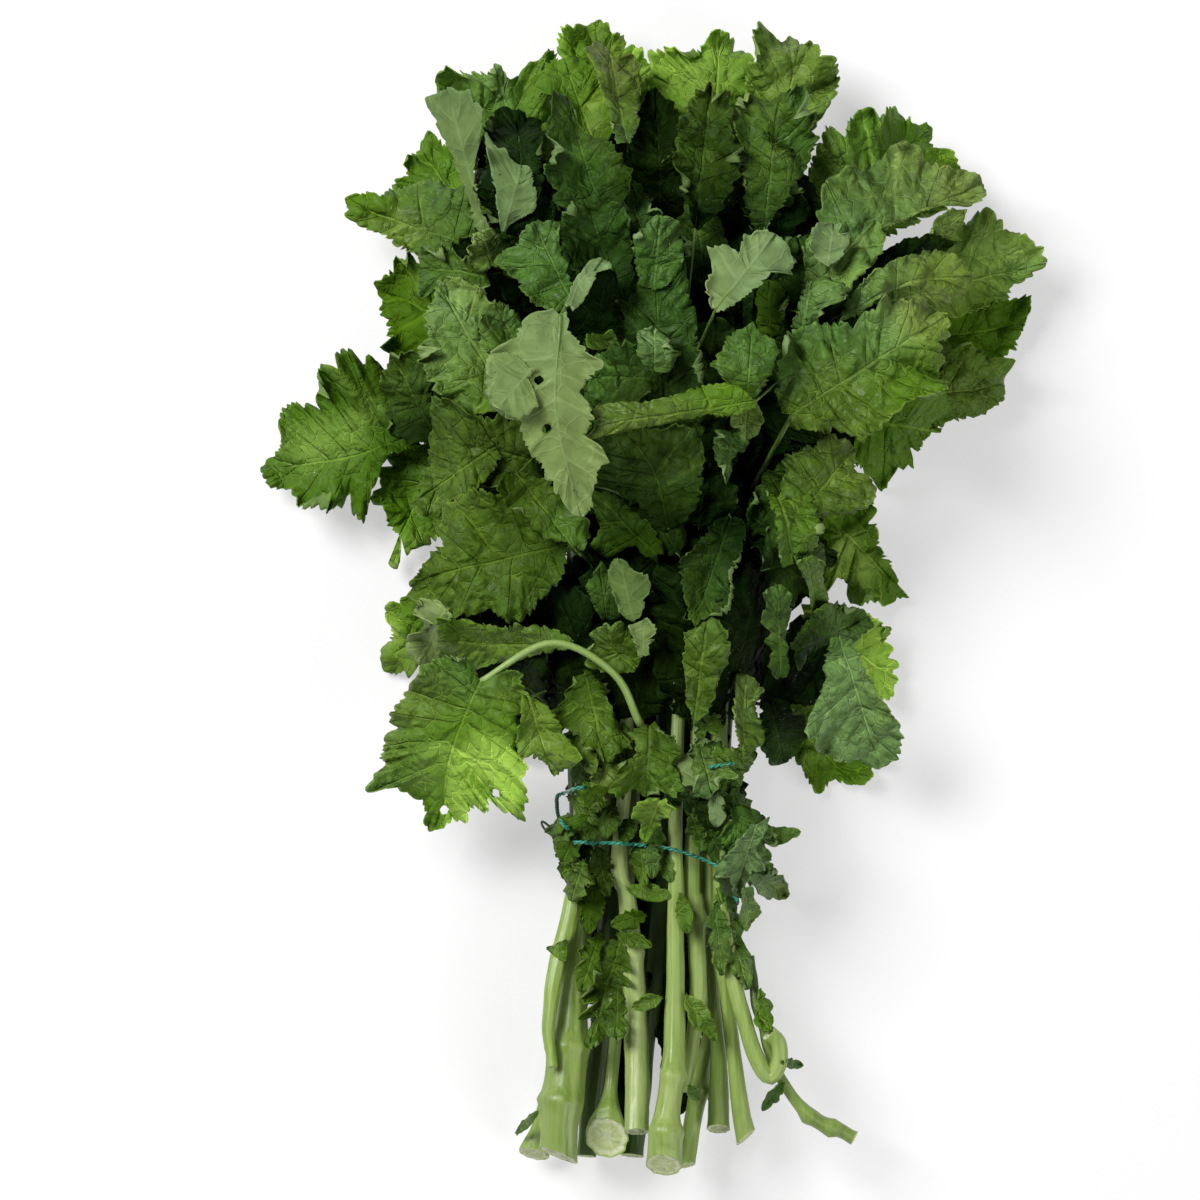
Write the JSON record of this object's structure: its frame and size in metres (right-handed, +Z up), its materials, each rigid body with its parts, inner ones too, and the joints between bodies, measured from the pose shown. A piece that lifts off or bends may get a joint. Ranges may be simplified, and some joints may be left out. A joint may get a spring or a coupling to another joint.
{
  "type": "bunch of broccoli rabe",
  "caption": "Tied bunch of leafy greens lying on its back: pale cut stalks at one end, a wide head of ruffled lobed leaves at the other, and a thin elastic tie round the stalks.",
  "frame": {"origin": "centre of the bottom of the bounding box: the middle of the area that the bunch lies on", "axes": "+Y along the bunch from the cut stalks to the leaf tips, +Z up from the surface that it lies on, +X to the right with the stalks nearest"},
  "size_m": [0.3018, 0.4402, 0.1183],
  "materials": {
    "leaf": "crinkled leaf with a soft gloss, dark green, paler veins",
    "pale_leaf": "underside of a leaf, matte pale grey-green with raised veins",
    "stalk": "smooth pale yellow-green stalk with fine ribs",
    "bud": "small yellow-green flower bud",
    "tie": "thin green elastic tie"
  },
  "bodies": {
    "root": {"back_leaf_1": "leaf", "back_leaf_2": "leaf", "back_leaf_3": "leaf", "broad_leaf": "leaf", "broad_stalk": "stalk", "bud_stalk": "bud", "cupped_leaf": "leaf", "curled_leaf": "leaf", "dark_leaf_1": "leaf", "dark_leaf_2": "leaf", "deep_leaf": "leaf", "drooping_leaf": "leaf", "fan_leaf": "leaf", "folded_leaf": "leaf", "folded_stalk": "stalk", "front_stalk": "stalk", "hanging_leaf": "leaf", "left_leaf_1": "leaf", "left_leaf_2": "leaf", "left_leaf_3": "leaf", "left_leaf_4": "leaf", "left_leaf_5": "leaf", "left_leaf_6": "leaf", "lit_leaf": "leaf", "lobed_leaf": "leaf", "middle_stalk": "stalk", "narrow_leaf": "pale_leaf", "olive_leaf_1": "leaf", "olive_leaf_2": "leaf", "pale_leaf": "pale_leaf", "right_front_leaf": "leaf", "right_leaf_1": "leaf", "right_leaf_2": "leaf", "right_leaf_3": "leaf", "right_leaf_4": "leaf", "right_leaf_5": "leaf", "right_leaf_6": "leaf", "right_leaf_7": "leaf", "right_stalk_1": "stalk", "right_stalk_2": "stalk", "right_stalk_3": "stalk", "round_cut_stalk": "stalk", "short_stalk": "stalk", "side_flap": "leaf", "side_stalk": "stalk", "small_leaf_1": "leaf", "small_leaf_2": "leaf", "stray_stalk": "stalk", "thick_stalk": "stalk", "tie": "tie", "top_leaf_1": "leaf", "top_leaf_2": "leaf", "top_leaf_3": "leaf", "top_leaf_4": "leaf", "turned_leaf": "leaf", "under_stalk_1": "stalk", "under_stalk_2": "stalk", "under_stalk_3": "stalk", "under_stalk_4": "stalk", "veined_leaf": "leaf"}
  },
  "joints": []
}
